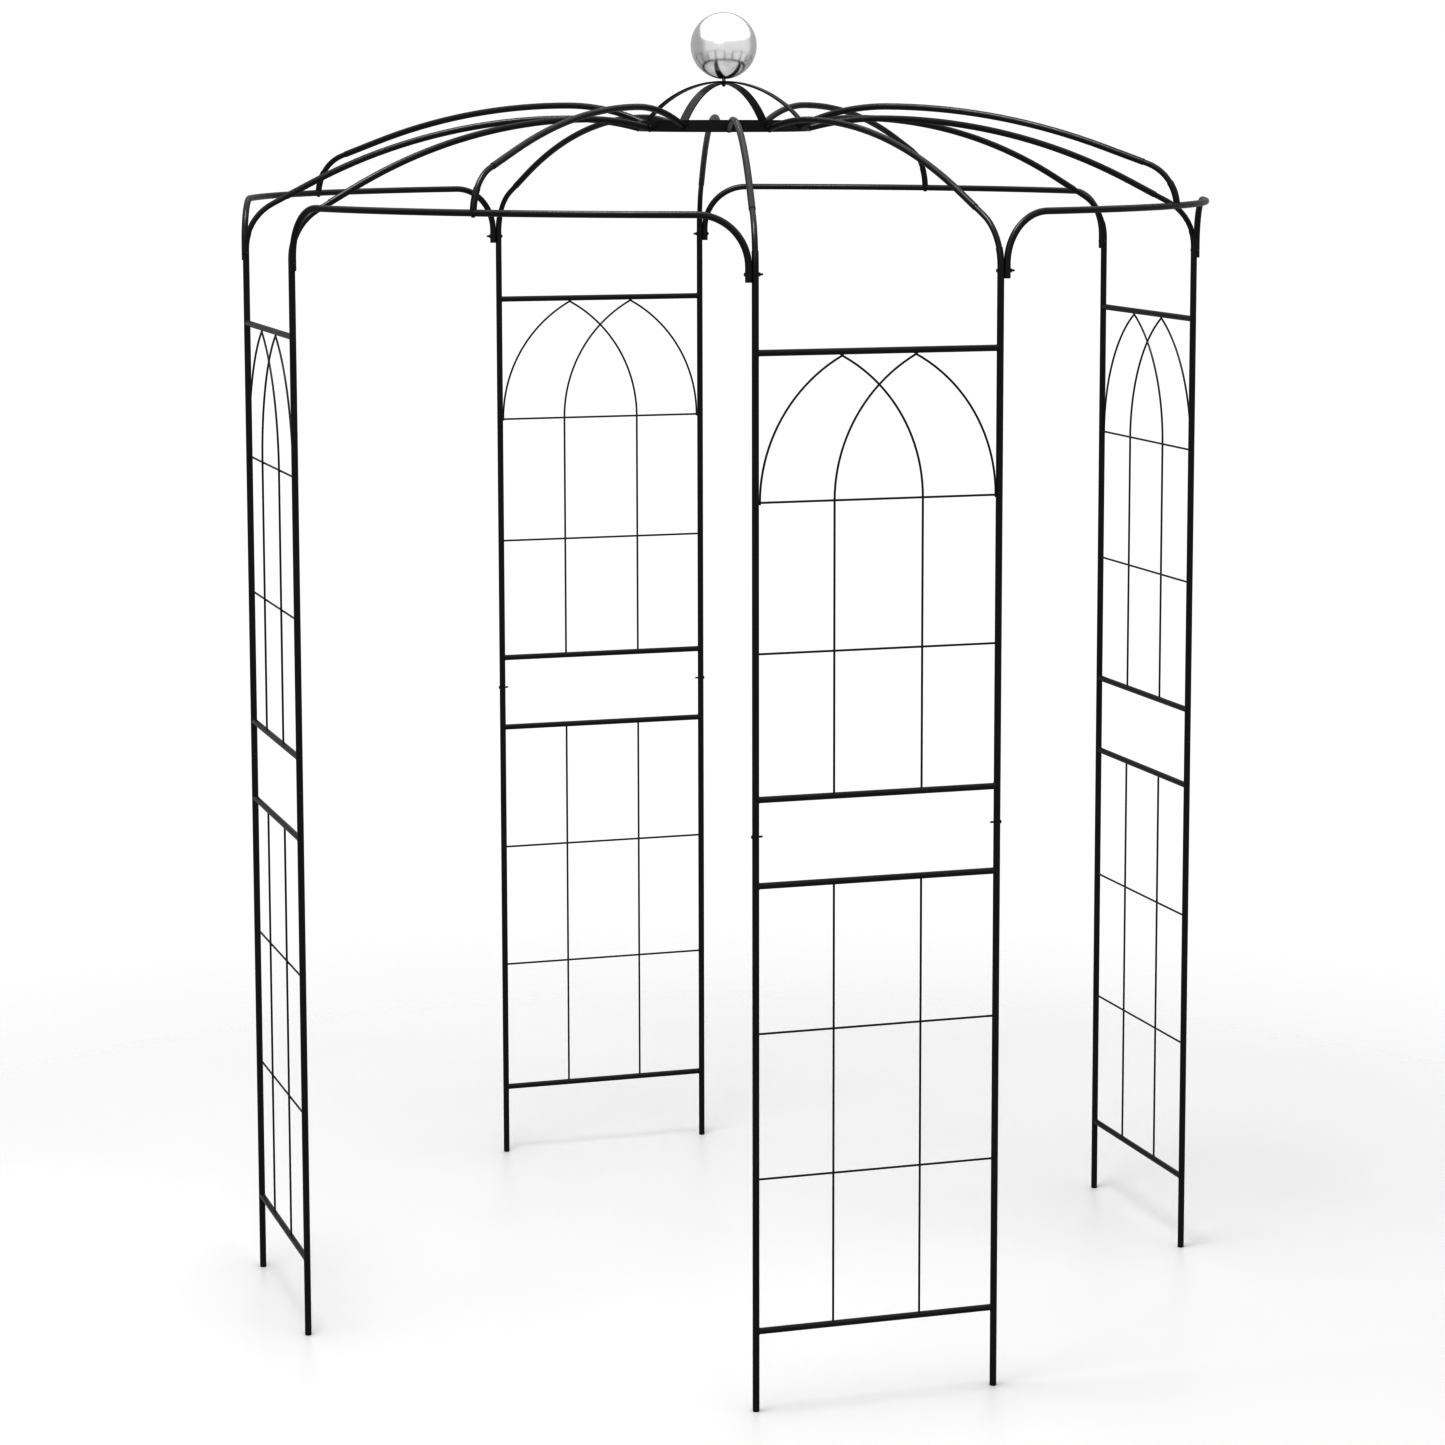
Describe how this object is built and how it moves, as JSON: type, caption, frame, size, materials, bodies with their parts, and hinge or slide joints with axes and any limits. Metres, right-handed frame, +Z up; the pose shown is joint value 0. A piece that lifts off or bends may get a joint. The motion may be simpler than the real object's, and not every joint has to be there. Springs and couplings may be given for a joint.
{
  "type": "metal trellis arch",
  "caption": "Free-standing garden gazebo of black steel tube: trellis panels, open doorways under curved bars, ribbed open roof with a hoop, crown and mirror ball.",
  "frame": {"origin": "centre of the plan on the ground, where the posts stand", "axes": "+Z up along the middle of the roof, -Y out through the front panel, +X out through the right panel"},
  "size_m": [2.112, 2.112, 2.9],
  "materials": {
    "black_coat": "satin powder coat",
    "fastener": "black coated steel",
    "mirror_ball": "mirror polished stainless steel"
  },
  "bodies": {
    "root": {"arch_bar_back_left": "black_coat", "arch_bar_back_right": "black_coat", "arch_bar_front_left": "black_coat", "arch_bar_front_right": "black_coat", "arch_bolts": "fastener", "arch_nuts": "fastener", "back_lower_grid": "black_coat", "back_lower_post_left": "black_coat", "back_lower_post_right": "black_coat", "back_lower_rails": "black_coat", "back_upper_post_left": "black_coat", "back_upper_post_right": "black_coat", "back_upper_rails": "black_coat", "back_upper_tracery": "black_coat", "bar_elbows": "black_coat", "bar_rib_back_left": "black_coat", "bar_rib_back_right": "black_coat", "bar_rib_front_left": "black_coat", "bar_rib_front_right": "black_coat", "bar_stubs": "black_coat", "crown_strip_lower": "black_coat", "crown_strip_upper": "black_coat", "finial_ball": "mirror_ball", "finial_stud": "fastener", "front_lower_grid": "black_coat", "front_lower_post_left": "black_coat", "front_lower_post_right": "black_coat", "front_lower_rails": "black_coat", "front_upper_post_left": "black_coat", "front_upper_post_right": "black_coat", "front_upper_rails": "black_coat", "front_upper_tracery": "black_coat", "left_lower_grid": "black_coat", "left_lower_post_left": "black_coat", "left_lower_post_right": "black_coat", "left_lower_rails": "black_coat", "left_upper_post_left": "black_coat", "left_upper_post_right": "black_coat", "left_upper_rails": "black_coat", "left_upper_tracery": "black_coat", "post_elbows": "black_coat", "post_rib_back_left": "black_coat", "post_rib_back_right": "black_coat", "post_rib_front_left": "black_coat", "post_rib_front_right": "black_coat", "post_rib_left_left": "black_coat", "post_rib_left_right": "black_coat", "post_rib_right_left": "black_coat", "post_rib_right_right": "black_coat", "right_lower_grid": "black_coat", "right_lower_post_left": "black_coat", "right_lower_post_right": "black_coat", "right_lower_rails": "black_coat", "right_upper_post_left": "black_coat", "right_upper_post_right": "black_coat", "right_upper_rails": "black_coat", "right_upper_tracery": "black_coat", "roof_hoop": "black_coat", "splice_screws": "fastener", "stub_bolts": "fastener"}
  },
  "joints": []
}
